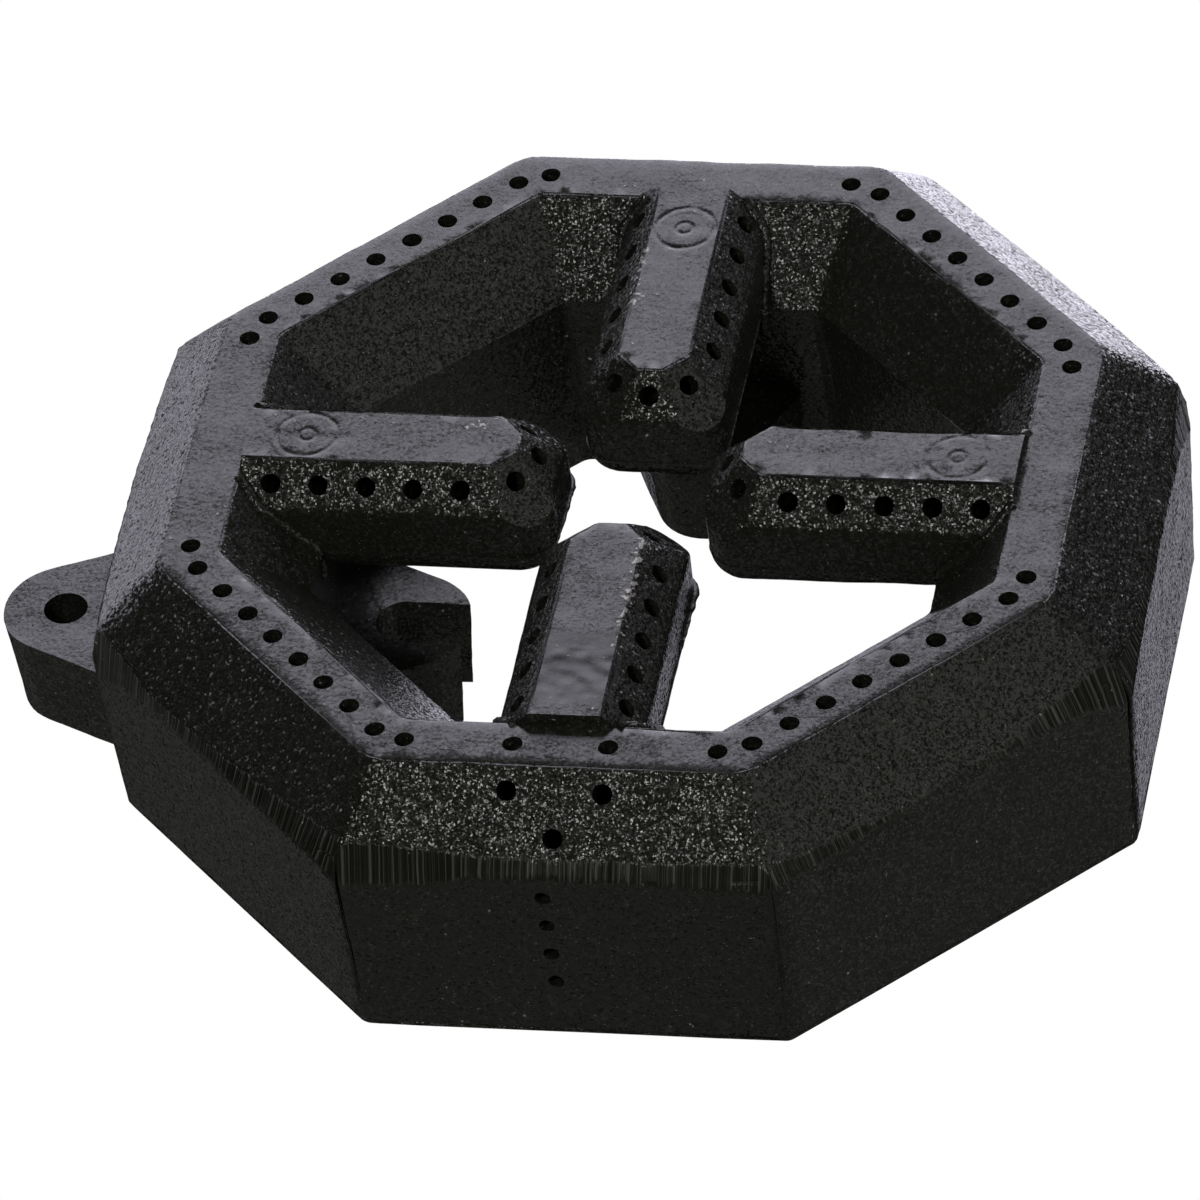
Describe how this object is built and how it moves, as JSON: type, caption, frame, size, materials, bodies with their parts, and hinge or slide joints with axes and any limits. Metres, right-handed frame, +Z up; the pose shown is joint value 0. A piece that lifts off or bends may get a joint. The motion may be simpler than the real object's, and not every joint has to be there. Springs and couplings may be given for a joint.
{
  "type": "gas burner head",
  "caption": "Octagonal hollow cast iron gas burner head with fingers that point at its open centre, a bevelled rim with rows of round ports, a ladder of pilot ports and flange lugs.",
  "frame": {"origin": "on the octagon's axis, in the plane of the base", "axes": "+Z up out of the ported rim, -Y towards the side with the pilot ports, -X towards the gas inlet and its flange lugs"},
  "size_m": [0.1871, 0.166, 0.05],
  "materials": {
    "cast_iron": "as-cast sand grain, black with a satin sheen"
  },
  "bodies": {
    "root": {"burner_head": "cast_iron"}
  },
  "joints": []
}
